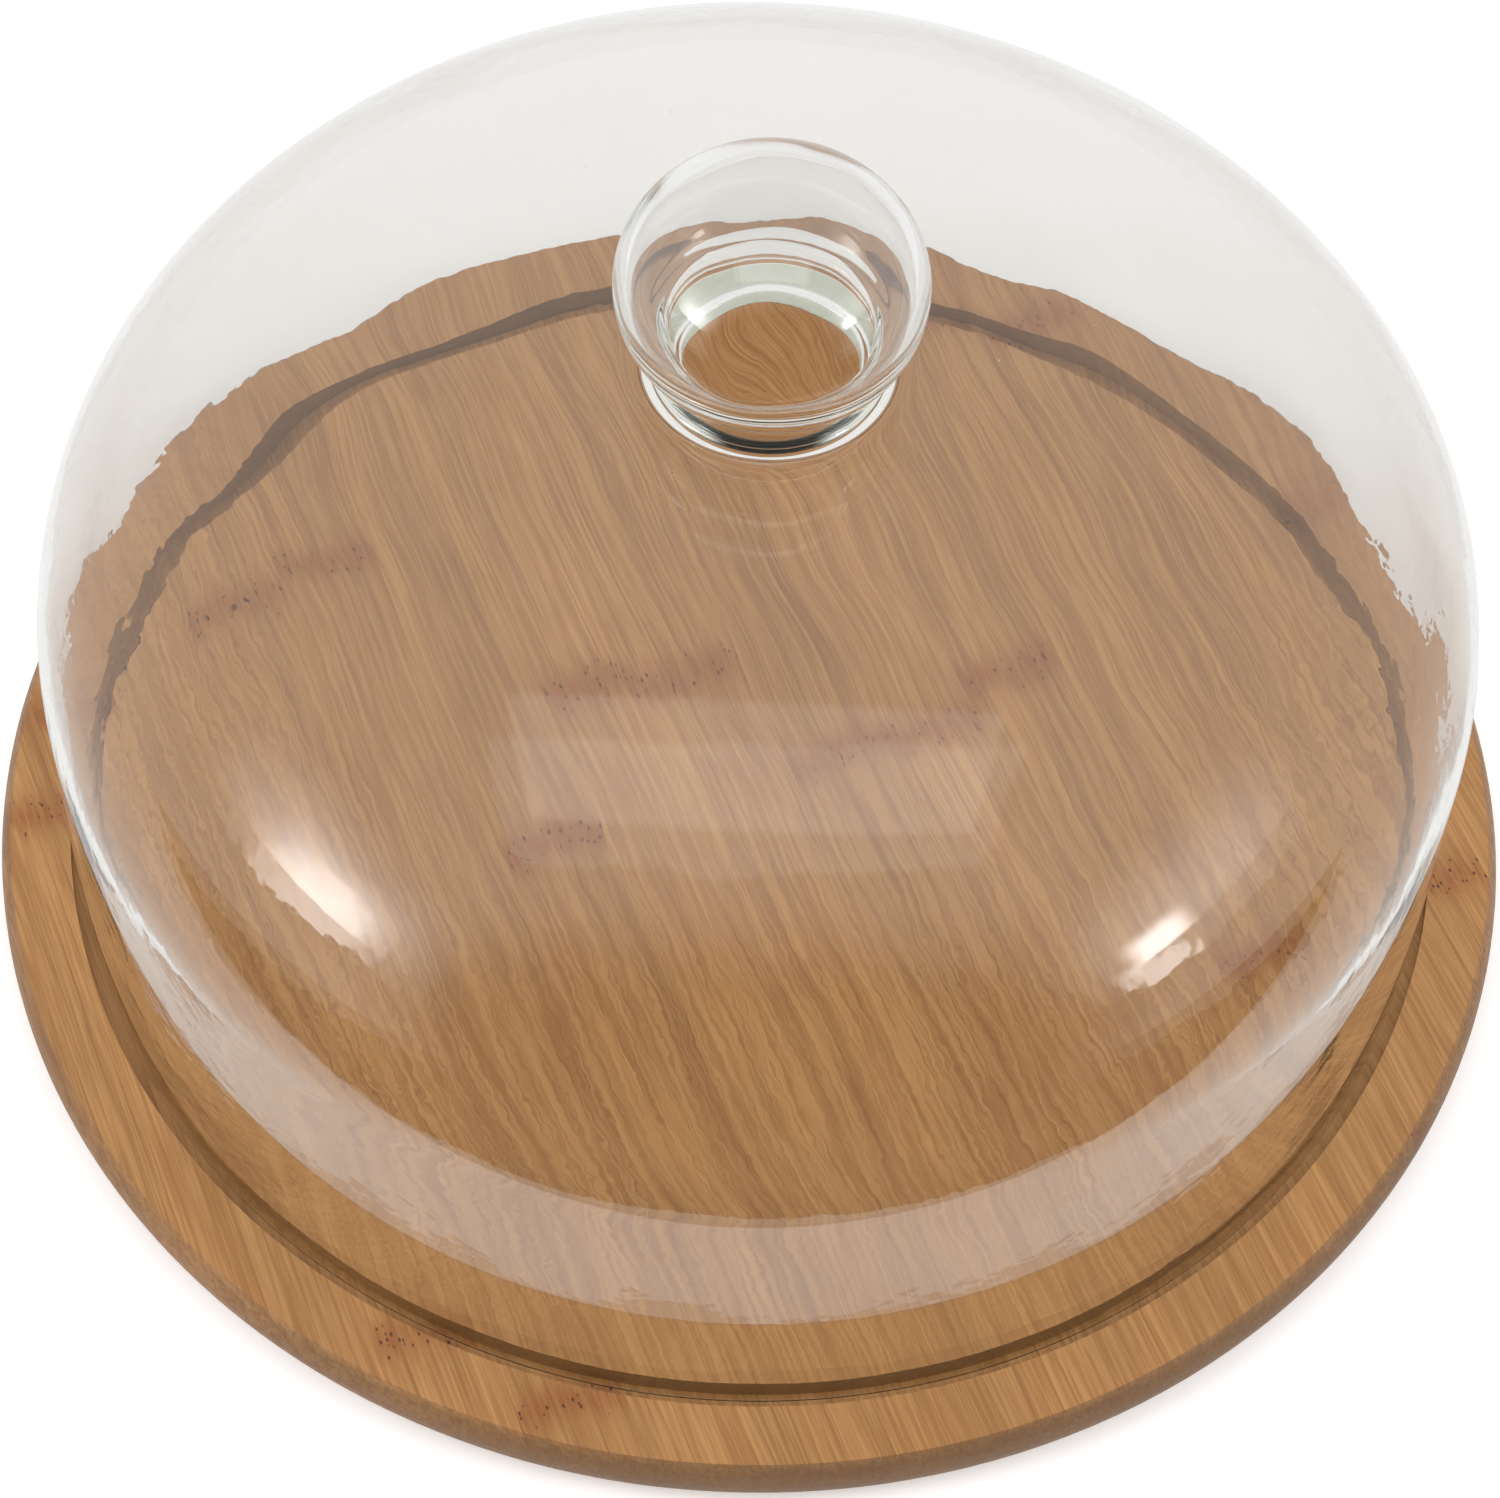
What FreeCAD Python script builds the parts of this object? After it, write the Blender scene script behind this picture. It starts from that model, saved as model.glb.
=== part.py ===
import FreeCAD, Part
import math
import os
import Sketcher
from FreeCAD import Vector

# A glass cloche with a hollow glass knob, standing in a groove turned in a round bamboo board.
# Millimetres.  Z is the axis of the board and the dome; Z = 0 is the board's underside.
# The bamboo grain runs along Y.

SIZES = {
    # board
    "board_radius": 150.0,
    "board_thickness": 13.0,
    "blank_length": 310.0,
    "stave_width": 20.0,
    "top_edge_radius": 147.7,
    "belly_height": 8.0,
    "sole_radius": 143.9,
    # groove that locates the dome
    "groove_inner_radius": 129.4,
    "groove_outer_radius": 136.0,
    "groove_depth": 4.0,
    # dome
    "bulge_radius": 134.9,
    "bulge_height": 78.6,
    "crown_height": 150.0,
    "wall_thickness": 3.1,
    "crown_thickness": 7.2,
    "foot_radius": 133.6,
    "foot_round": 1.3,
    "shoulder_power": 2.145,
    # neck of the dome
    "hole_radius": 17.2,
    "ledge_height": 146.4,
    "socket_radius": 18.9,
    "flare_radius": 25.3,
    "waist_radius": 21.0,
    "waist_height": 153.4,
    # knob
    "knob_radius": 27.5,
    "knob_half_height": 22.0,
    "knob_height": 168.0,
    "knob_wall": 2.5,
    "cavity_drop": 16.4,
}

SHOULDER_POINTS = 11                    # points that shape each shoulder curve
JOIN_ANGLE = math.radians(-30.0)        # place on the ball where the waist runs out into it
FLARE_FULLNESS = 0.56                   # handle length of the neck's curves, 0.55 being a round
CUT_MARGIN = 2.0                        # how far a turning cut starts outside the blank
TOUCHING = 1e-6


def make_sizes(document):
    """Put the driving dimensions in a spreadsheet, one aliased cell each."""
    sheet = document.addObject("Spreadsheet::Sheet", "Sizes")
    for row, (alias, value) in enumerate(SIZES.items(), start=1):
        sheet.set(f"A{row}", alias)
        sheet.set(f"B{row}", str(value))
        sheet.setAlias(f"B{row}", alias)
    document.recompute()
    return sheet


# ---- sketches ----

def add_sketch(body, name, plane):
    """Add a sketch on one of the body's own origin planes."""
    sketch = body.newObject("Sketcher::SketchObject", name)
    support = [item for item in body.Origin.OriginFeatures if item.Role == plane][0]
    sketch.AttachmentSupport = [(support, "")]
    sketch.MapMode = "FlatFace"
    return sketch


def draw_loop(sketch, edges):
    """Draw edges that meet end to end in a closed loop, and tie each meeting point."""
    for edge in edges:
        sketch.addGeometry(edge, False)
    for index in range(len(edges)):
        following = (index + 1) % len(edges)
        near, far = meeting_ends(sketch, index, following)
        sketch.addConstraint(Sketcher.Constraint("Coincident", index, near, following, far))


def meeting_ends(sketch, first, second):
    """The end numbers at which two edges of a sketch meet."""
    for near in (1, 2):
        for far in (1, 2):
            gap = sketch.getPoint(first, near) - sketch.getPoint(second, far)
            if gap.Length < TOUCHING:
                return near, far
    raise ValueError(f"edges {first} and {second} of {sketch.Label} do not meet")


def pin(sketch, corner, across, up):
    """Tie the corner at a place in the sketch to formulas on the size sheet."""
    for index in range(sketch.GeometryCount):
        for end in (1, 2):
            if (sketch.getPoint(index, end) - corner).Length < TOUCHING:
                add_distance(sketch, "DistanceX", index, end, corner.x, across)
                add_distance(sketch, "DistanceY", index, end, corner.y, up)
                return
    raise ValueError(f"no corner at {corner} in {sketch.Label}")


def add_distance(sketch, kind, index, end, value, formula):
    """Hold one coordinate of a point to a formula; a point on an axis is held to the axis."""
    if formula == "0":
        axis = -2 if kind == "DistanceX" else -1
        sketch.addConstraint(Sketcher.Constraint("PointOnObject", index, end, axis))
        return
    number = sketch.addConstraint(Sketcher.Constraint(kind, index, end, value))
    sketch.setExpression(f"Constraints[{number}]", formula)


def line(start, end):
    return Part.LineSegment(start, end)


def arc_through(start, centre, end):
    """The shorter arc about a centre between two points."""
    first = math.atan2(start.y - centre.y, start.x - centre.x)
    last = math.atan2(end.y - centre.y, end.x - centre.x)
    if (last - first) % math.tau > math.pi:
        first, last = last, first
    circle = Part.Circle(centre, Vector(0, 0, 1), (start - centre).Length)
    return Part.ArcOfCircle(circle, first, last)


def rounding(wall, floor, radius, side):
    """A quarter round that joins a wall to a floor; side is +1 for an outer wall, -1 for an inner."""
    centre = Vector(wall - side * radius, floor + radius, 0)
    return arc_through(Vector(wall, floor + radius, 0), centre, Vector(centre.x, floor, 0))


def upright_arc(high, low):
    """An arc that leaves its high end upright and bends towards the axis down to its low end."""
    rise = high.y - low.y
    inset = high.x - low.x
    radius = (rise ** 2 + inset ** 2) / (2 * inset)
    return arc_through(high, Vector(high.x - radius, high.y, 0), low)


def swept_handle(start, start_way, end, end_way):
    """A smooth curve between two points whose directions at both ends are given."""
    reach = FLARE_FULLNESS * (end - start).Length / math.sqrt(2)
    handles = [start, start + start_way * reach, end - end_way * reach, end]
    curve = Part.BezierCurve()
    curve.setPoles(handles)
    return curve.toBSpline()


# ---- shoulder of the dome ----

def shoulder_point(radius, rise, base, power, turn):
    """A point on the shoulder, from upright at turn 0 to level at turn 90 degrees."""
    across = radius * math.cos(turn) ** (2 / power)
    return Vector(across, base + rise * math.sin(turn) ** (2 / power), 0)


def shoulder_height(radius, rise, base, power, across):
    """Height of the shoulder curve at a distance from the axis."""
    return base + rise * (1 - (across / radius) ** power) ** (1 / power)


def shoulder_way(radius, rise, base, power, across):
    """Direction of the shoulder curve at a distance from the axis, towards the axis."""
    step = 0.01
    outer = shoulder_height(radius, rise, base, power, across + step)
    inner = shoulder_height(radius, rise, base, power, across - step)
    return Vector(-2 * step, inner - outer, 0).normalize()


def shoulder_curve(radius, rise, base, power, across):
    """The shoulder from the bulge in to a distance from the axis."""
    last_turn = math.acos((across / radius) ** (power / 2))
    turns = [last_turn * number / (SHOULDER_POINTS - 1) for number in range(SHOULDER_POINTS)]
    points = [shoulder_point(radius, rise, base, power, turn) for turn in turns]
    curve = Part.BSplineCurve()
    way_in = shoulder_way(radius, rise, base, power, across)
    curve.interpolate(Points=points, InitialTangent=Vector(0, 1, 0), FinalTangent=way_in)
    return curve, points[-1]


# ---- bodies ----

def add_turned(body, sketch, kind, name):
    """Turn a sketch round the Z axis, adding (Revolution) or cutting (Groove)."""
    feature = body.newObject(f"PartDesign::{kind}", name)
    feature.Profile = sketch
    feature.ReferenceAxis = (sketch, ["V_Axis"])
    feature.Angle = 360.0
    body.Tip = feature
    return feature


def make_stave(document, number):
    """One full-thickness bamboo stave, cut by the board's turned edge and its groove."""
    name = f"bamboo_stave_{number:02d}"
    body = document.addObject("PartDesign::Body", name)
    body.Label = name
    add_stave_blank(body, number)
    add_turned(body, draw_turned_edge(body), "Groove", "TurnedEdge")
    add_turned(body, draw_dome_groove(body), "Groove", "DomeGroove")
    return body


def add_stave_blank(body, number):
    """A straight rectangular stave, before turning."""
    left = (number - 1) * SIZES["stave_width"] - SIZES["board_radius"]
    right = left + SIZES["stave_width"]
    far = SIZES["blank_length"] / 2
    corners = [Vector(left, -far, 0), Vector(right, -far, 0), Vector(right, far, 0), Vector(left, far, 0)]
    sketch = add_sketch(body, "StaveOutline", "XY_Plane")
    draw_loop(sketch, [line(corners[i], corners[(i + 1) % 4]) for i in range(4)])
    left_formula = f"{number - 1} * Sizes.stave_width - Sizes.board_radius"
    right_formula = f"{number} * Sizes.stave_width - Sizes.board_radius"
    pin(sketch, corners[0], left_formula, "-Sizes.blank_length / 2")
    pin(sketch, corners[1], right_formula, "-Sizes.blank_length / 2")
    pin(sketch, corners[2], right_formula, "Sizes.blank_length / 2")
    pin(sketch, corners[3], left_formula, "Sizes.blank_length / 2")
    pad = body.newObject("PartDesign::Pad", "Blank")
    pad.Profile = sketch
    pad.setExpression("Length", "Sizes.board_thickness")
    body.Tip = pad


def draw_turned_edge(body):
    """What the lathe removes outside the board's bellied edge."""
    top = SIZES["board_thickness"]
    arris = Vector(SIZES["top_edge_radius"], top, 0)
    above = Vector(arris.x, top + CUT_MARGIN, 0)
    belly = Vector(SIZES["board_radius"], SIZES["belly_height"], 0)
    sole = Vector(SIZES["sole_radius"], 0, 0)
    below = Vector(sole.x, -CUT_MARGIN, 0)
    outside = 1.5 * SIZES["board_radius"]
    outer_high = Vector(outside, above.y, 0)
    outer_low = Vector(outside, below.y, 0)
    sketch = add_sketch(body, "EdgeCut", "XZ_Plane")
    edges = [
        line(arris, above),
        line(above, outer_high),
        line(outer_high, outer_low),
        line(outer_low, below),
        line(below, sole),
        upright_arc(belly, sole),
        upright_arc_upward(belly, arris),
    ]
    draw_loop(sketch, edges)
    pin(sketch, arris, "Sizes.top_edge_radius", "Sizes.board_thickness")
    pin(sketch, belly, "Sizes.board_radius", "Sizes.belly_height")
    pin(sketch, sole, "Sizes.sole_radius", "0")
    return sketch


def upright_arc_upward(low, high):
    """An arc that leaves its low end upright and bends towards the axis up to its high end."""
    rise = high.y - low.y
    inset = low.x - high.x
    radius = (rise ** 2 + inset ** 2) / (2 * inset)
    return arc_through(low, Vector(low.x - radius, low.y, 0), high)


def draw_dome_groove(body):
    """Section of the groove that the dome's foot stands in."""
    inner = SIZES["groove_inner_radius"]
    outer = SIZES["groove_outer_radius"]
    top = SIZES["board_thickness"]
    floor = top - SIZES["groove_depth"]
    corners = [
        Vector(inner, floor, 0),
        Vector(outer, floor, 0),
        Vector(outer, top + CUT_MARGIN, 0),
        Vector(inner, top + CUT_MARGIN, 0),
    ]
    sketch = add_sketch(body, "GrooveSection", "XZ_Plane")
    draw_loop(sketch, [line(corners[i], corners[(i + 1) % 4]) for i in range(4)])
    floor_formula = "Sizes.board_thickness - Sizes.groove_depth"
    pin(sketch, corners[0], "Sizes.groove_inner_radius", floor_formula)
    pin(sketch, corners[1], "Sizes.groove_outer_radius", floor_formula)
    return sketch


def make_dome(document):
    """The blown dome: rounded foot, upright wall, full shoulder and open collar at the crown."""
    body = document.addObject("PartDesign::Body", "glass_dome")
    body.Label = "glass_dome"
    power = SIZES["shoulder_power"]
    floor = SIZES["board_thickness"] - SIZES["groove_depth"]
    bulge = Vector(SIZES["bulge_radius"], SIZES["bulge_height"], 0)
    bulge_inside = bulge - Vector(SIZES["wall_thickness"], 0, 0)
    crown = SIZES["crown_height"]
    crown_inside = crown - SIZES["crown_thickness"]
    foot_inner = SIZES["foot_radius"] - SIZES["wall_thickness"]
    round_size = SIZES["foot_round"]
    foot_side = Vector(SIZES["foot_radius"], floor + round_size, 0)
    foot_inside = Vector(foot_inner, floor + round_size, 0)
    sole_outer = Vector(foot_side.x - round_size, floor, 0)
    sole_inner = Vector(foot_inside.x + round_size, floor, 0)
    outside, flare = shoulder_curve(bulge.x, crown - bulge.y, bulge.y, power, SIZES["flare_radius"])
    inside, hole_low = shoulder_curve(
        bulge_inside.x, crown_inside - bulge.y, bulge.y, power, SIZES["hole_radius"])
    hole_high = Vector(SIZES["hole_radius"], SIZES["ledge_height"], 0)
    ledge = Vector(SIZES["socket_radius"], SIZES["ledge_height"], 0)
    rim_inner = Vector(SIZES["socket_radius"], SIZES["waist_height"], 0)
    rim_outer = Vector(SIZES["waist_radius"], SIZES["waist_height"], 0)
    flare_way = shoulder_way(bulge.x, crown - bulge.y, bulge.y, power, flare.x)
    edges = [
        line(sole_inner, sole_outer),
        rounding(foot_side.x, floor, round_size, 1),
        upright_arc(bulge, foot_side),
        outside,
        swept_handle(flare, flare_way, rim_outer, Vector(0, 1, 0)),
        line(rim_outer, rim_inner),
        line(rim_inner, ledge),
        line(ledge, hole_high),
        line(hole_high, hole_low),
        inside,
        upright_arc(bulge_inside, foot_inside),
        rounding(foot_inside.x, floor, round_size, -1),
    ]
    sketch = add_sketch(body, "DomeSection", "XZ_Plane")
    draw_loop(sketch, edges)
    floor_formula = "Sizes.board_thickness - Sizes.groove_depth"
    round_formula = floor_formula + " + Sizes.foot_round"
    pin(sketch, foot_side, "Sizes.foot_radius", round_formula)
    pin(sketch, sole_outer, "Sizes.foot_radius - Sizes.foot_round", floor_formula)
    pin(sketch, bulge, "Sizes.bulge_radius", "Sizes.bulge_height")
    pin(sketch, bulge_inside, "Sizes.bulge_radius - Sizes.wall_thickness", "Sizes.bulge_height")
    pin(sketch, rim_outer, "Sizes.waist_radius", "Sizes.waist_height")
    pin(sketch, rim_inner, "Sizes.socket_radius", "Sizes.waist_height")
    pin(sketch, ledge, "Sizes.socket_radius", "Sizes.ledge_height")
    pin(sketch, hole_high, "Sizes.hole_radius", "Sizes.ledge_height")
    add_turned(body, sketch, "Revolution", "Dome")
    return body


def ball_arc(centre, half_width, half_height, first, last):
    """Part of the ball's section, an ellipse wider than it is high."""
    ellipse = Part.Ellipse(centre, half_width, half_height)
    return Part.ArcOfEllipse(ellipse, first, last).toBSpline()


def make_knob(document):
    """The hollow ball that is fused to the dome's collar, open down through its neck."""
    body = document.addObject("PartDesign::Body", "glass_knob")
    body.Label = "glass_knob"
    centre = Vector(0, SIZES["knob_height"], 0)
    outer = (SIZES["knob_radius"], SIZES["knob_half_height"])
    inner = (outer[0] - SIZES["knob_wall"], outer[1] - SIZES["knob_wall"])
    drop = SIZES["cavity_drop"]
    socket = SIZES["socket_radius"]
    socket_angle = -math.acos(socket / inner[0])
    socket_top = centre + Vector(socket, drop * math.sin(socket_angle), 0)
    join = centre + Vector(outer[0] * math.cos(JOIN_ANGLE), outer[1] * math.sin(JOIN_ANGLE), 0)
    join_way = Vector(-outer[0] * math.sin(JOIN_ANGLE), outer[1] * math.cos(JOIN_ANGLE), 0).normalize()
    rim_inner = Vector(socket, SIZES["waist_height"], 0)
    rim_outer = Vector(SIZES["waist_radius"], SIZES["waist_height"], 0)
    top = centre + Vector(0, outer[1], 0)
    top_inside = centre + Vector(0, inner[1], 0)
    edges = [
        line(rim_inner, rim_outer),
        swept_handle(rim_outer, Vector(0, 1, 0), join, join_way),
        ball_arc(centre, outer[0], outer[1], JOIN_ANGLE, math.pi / 2),
        line(top, top_inside),
        ball_arc(centre, inner[0], inner[1], 0, math.pi / 2),
        ball_arc(centre, inner[0], drop, socket_angle, 0),
        line(socket_top, rim_inner),
    ]
    sketch = add_sketch(body, "KnobSection", "XZ_Plane")
    draw_loop(sketch, edges)
    pin(sketch, rim_inner, "Sizes.socket_radius", "Sizes.waist_height")
    pin(sketch, rim_outer, "Sizes.waist_radius", "Sizes.waist_height")
    pin(sketch, top, "0", "Sizes.knob_height + Sizes.knob_half_height")
    pin(sketch, top_inside, "0", "Sizes.knob_height + Sizes.knob_half_height - Sizes.knob_wall")
    add_turned(body, sketch, "Revolution", "Ball")
    return body


def check_document(document):
    """Stop if any feature failed or any shape is empty or invalid."""
    for item in document.Objects:
        if {"Invalid", "Error"} & set(item.State):
            raise RuntimeError(f"{item.Label} did not compute: {item.State}")
        if hasattr(item, "Shape") and item.TypeId.startswith("PartDesign::"):
            if item.Shape.isNull() or not item.Shape.isValid():
                raise RuntimeError(f"{item.Label} has no valid shape")


def main():
    document = FreeCAD.newDocument("cloche")
    make_sizes(document)
    stave_count = round(2 * SIZES["board_radius"] / SIZES["stave_width"])
    bodies = [make_stave(document, number) for number in range(1, stave_count + 1)]
    bodies.append(make_dome(document))
    bodies.append(make_knob(document))
    document.recompute()
    check_document(document)
    os.makedirs("parts", exist_ok=True)
    for body in bodies:
        body.Shape.exportStep(f"parts/{body.Label}.step")


main()
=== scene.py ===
import math

import bpy
import numpy as np
from mathutils import Matrix, Vector


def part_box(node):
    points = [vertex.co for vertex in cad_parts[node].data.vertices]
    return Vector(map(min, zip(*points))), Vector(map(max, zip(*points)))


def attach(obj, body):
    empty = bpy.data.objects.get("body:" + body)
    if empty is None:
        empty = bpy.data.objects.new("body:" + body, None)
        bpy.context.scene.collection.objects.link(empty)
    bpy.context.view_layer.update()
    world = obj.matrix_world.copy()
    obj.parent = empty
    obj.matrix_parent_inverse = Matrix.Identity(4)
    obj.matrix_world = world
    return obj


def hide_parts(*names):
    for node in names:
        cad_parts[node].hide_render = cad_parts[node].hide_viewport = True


# A glass cloche on a round bamboo board, in a white studio.  Metres; Z up; grain along Y.

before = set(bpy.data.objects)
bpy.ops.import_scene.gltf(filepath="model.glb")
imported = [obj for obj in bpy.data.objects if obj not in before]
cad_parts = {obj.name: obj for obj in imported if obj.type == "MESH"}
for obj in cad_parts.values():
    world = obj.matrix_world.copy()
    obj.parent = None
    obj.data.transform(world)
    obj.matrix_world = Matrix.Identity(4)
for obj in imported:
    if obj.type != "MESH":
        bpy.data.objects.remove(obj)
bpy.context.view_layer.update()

MM = 0.001

# ---- sizes, from the frame where it has them ----

dome_low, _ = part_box("glass_dome")
_, board_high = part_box("bamboo_stave_08")
stave_low, stave_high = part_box("bamboo_stave_01")

BOARD_TOP = board_high[2]
BOARD_RADIUS = -stave_low[0]
STAVE_WIDTH = stave_high[0] - stave_low[0]
STAVE_COUNT = round(2 * BOARD_RADIUS / STAVE_WIDTH)

FLOOR_OF_GROOVE = dome_low[2]
BULGE_RADIUS = 134.9 * MM
BULGE_HEIGHT = 78.6 * MM
CROWN_HEIGHT = 150.0 * MM
WALL = 3.1 * MM
CROWN_WALL = 7.2 * MM
FOOT_RADIUS = 133.6 * MM
FOOT_ROUND = 1.3 * MM
SHOULDER_POWER = 2.145

FLARE_RADIUS = 25.3 * MM
WAIST_RADIUS = 21.0 * MM
WAIST_HEIGHT = 153.4 * MM
SOCKET_RADIUS = 18.9 * MM
HOLE_RADIUS = 17.2 * MM
LEDGE_HEIGHT = 146.4 * MM
EDGE_ROUND = 0.8 * MM

KNOB_RADIUS = 27.5 * MM
KNOB_HALF_HEIGHT = 22.0 * MM
KNOB_HEIGHT = 168.0 * MM
KNOB_WALL = 2.5 * MM
CAVITY_DROP = 16.4 * MM
JOIN_ANGLE = math.radians(-30)
FLARE_FULLNESS = 0.56

# ---- view ----

VIEW_AZIMUTH = math.radians(-23)         # the grain runs this far off the line of sight
VIEW_ELEVATION = math.radians(55.887)
VIEW_ROLL = math.radians(2.205)
VIEW_DISTANCE = 0.8753
VIEW_TARGET = (-0.0007, 0.0103)          # across and away, on the board's top
LENS_MM = 104.6
SENSOR_MM = 36.0


def studio_place(across, away, height):
    """A place given across, away from and above the board, as the camera stands."""
    turn = Matrix.Rotation(VIEW_AZIMUTH, 3, "Z")
    return turn @ Vector((across, away, height))


def studio_way(azimuth, elevation):
    """A direction: azimuth in degrees from the camera's side towards its right, and elevation."""
    turn, rise = math.radians(azimuth), math.radians(elevation)
    level = math.cos(rise)
    return studio_place(math.sin(turn) * level, -math.cos(turn) * level, math.sin(rise))


# ---- node helpers ----

def add_node(tree, kind, **settings):
    """Add a node; settings are its own properties."""
    node = tree.nodes.new(kind)
    for name, value in settings.items():
        setattr(node, name, value)
    return node


def feed(tree, source, target):
    """Link a socket, or set a plain value."""
    if isinstance(source, bpy.types.NodeSocket):
        tree.links.new(source, target)
    else:
        target.default_value = source


def calculate(tree, operation, *values):
    """A Math node on sockets or numbers."""
    node = add_node(tree, "ShaderNodeMath", operation=operation)
    for value, target in zip(values, node.inputs):
        feed(tree, value, target)
    return node.outputs[0]


def stretch(tree, value, low, high, new_low, new_high):
    """Map a value from one range to another, smoothly and held at the ends."""
    node = add_node(tree, "ShaderNodeMapRange", interpolation_type="SMOOTHSTEP")
    for number, item in enumerate((value, low, high, new_low, new_high)):
        feed(tree, item, node.inputs[number])
    return node.outputs[0]


def noise(tree, place, scales, detail=2.0, rough=0.5):
    """Noise at a place whose axes are scaled by so many cycles a metre."""
    scaled = add_node(tree, "ShaderNodeVectorMath", operation="MULTIPLY")
    feed(tree, place, scaled.inputs[0])
    feed(tree, scales, scaled.inputs[1])
    node = add_node(tree, "ShaderNodeTexNoise")
    feed(tree, scaled.outputs[0], node.inputs["Vector"])
    feed(tree, 1.0, node.inputs["Scale"])
    feed(tree, detail, node.inputs["Detail"])
    feed(tree, rough, node.inputs["Roughness"])
    return node.outputs["Fac"]


def blend_colours(tree, factor, first, second, mode="MIX"):
    """Mix two colours by a factor."""
    node = add_node(tree, "ShaderNodeMix", data_type="RGBA", blend_type=mode)
    feed(tree, factor, node.inputs["Factor"])
    feed(tree, first, node.inputs[6])
    feed(tree, second, node.inputs[7])
    return node.outputs[2]


# ---- bamboo ----

LIGHT_FIBRE = (0.425, 0.212, 0.077, 1)
MIDDLE_FIBRE = (0.305, 0.136, 0.044, 1)
DARK_FIBRE = (0.200, 0.082, 0.026, 1)
NODE_MARK = (0.250, 0.080, 0.022, 1)
NODE_DOT = (0.080, 0.026, 0.010, 1)
END_GRAIN = (0.200, 0.110, 0.048, 1)
# painted shade: a cool grey multiplied onto the board's upright sides to darken them
PAINTED_SIDE_SHADE = (0.60, 0.63, 0.72, 1)
MARKS_PER_STAVE = 2

# Where the culm's nodes cross each stave, in millimetres along the grain.
NODE_MARKS = {
    1: (44, -180),
    2: (67, -260),
    3: (-91, 190),
    4: (-114, 80),
    5: (84, -175),
    6: (5, -230),
    7: (37, -190),
    8: (33, -165),
    9: (5, 190),
    10: (4, -195),
    11: (11, -170),
    12: (-68, 102),
    13: (95, -120),
    14: (-67, 160),
    15: (30, -160),
}


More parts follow.
